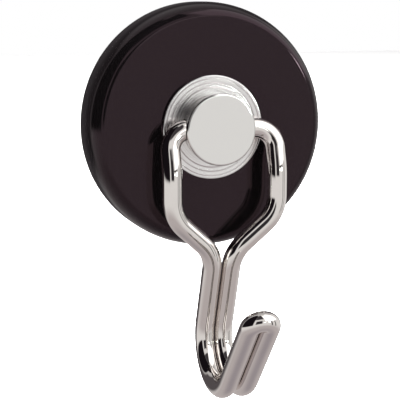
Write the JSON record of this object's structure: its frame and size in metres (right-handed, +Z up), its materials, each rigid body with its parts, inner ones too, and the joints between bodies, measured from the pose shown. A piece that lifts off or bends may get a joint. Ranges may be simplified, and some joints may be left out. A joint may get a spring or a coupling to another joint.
{
  "type": "magnetic swivel hook",
  "caption": "Round pot magnet in a black steel cup with a chromed collar and cross-drilled swivel knob that carries a swinging hook of doubled wire.",
  "frame": {"origin": "centre of the magnet's contact face, on the pot's rim plane", "axes": "+Y points out of the contact face into the steel it clings to, along the swivel's axis; +Z is up, with the hook hanging towards -Z; the hook faces -Y"},
  "size_m": [0.057, 0.0434, 0.0901],
  "materials": {
    "pot_paint": "gloss black coat",
    "ferrite": "ground, matte",
    "resin": "cast, satin",
    "adhesive": "cured film",
    "sleeve": "moulded nylon",
    "collar_chrome": "turned rings under chrome plate",
    "knob_chrome": "bright chrome plate on turned steel",
    "wire_chrome": "bright chrome plate on drawn wire",
    "washer_brass": "blanked",
    "spring_steel": "oiled spring steel"
  },
  "bodies": {
    "base": {"pot_cup": "pot_paint", "magnet_glue": "adhesive", "ring_magnet": "ferrite", "potting_ring": "resin", "centre_sleeve": "sleeve", "collar": "collar_chrome"},
    "swivel": {"swivel_knob": "knob_chrome", "thrust_washer": "washer_brass", "disc_spring": "spring_steel", "retaining_ring": "spring_steel"},
    "hook": {"wire_hook": "wire_chrome"}
  },
  "joints": [
    {"name": "knob_swivel", "type": "hinge", "parent": "base", "child": "swivel", "pos_m": [0, -0.01505, 0], "axis": [0, -1, 0], "continuous": true},
    {"name": "hook_swing", "type": "hinge", "parent": "swivel", "child": "hook", "pos_m": [0, -0.01505, 0], "axis": [-1, 0, 0], "range_deg": [-7, 161]}
  ]
}
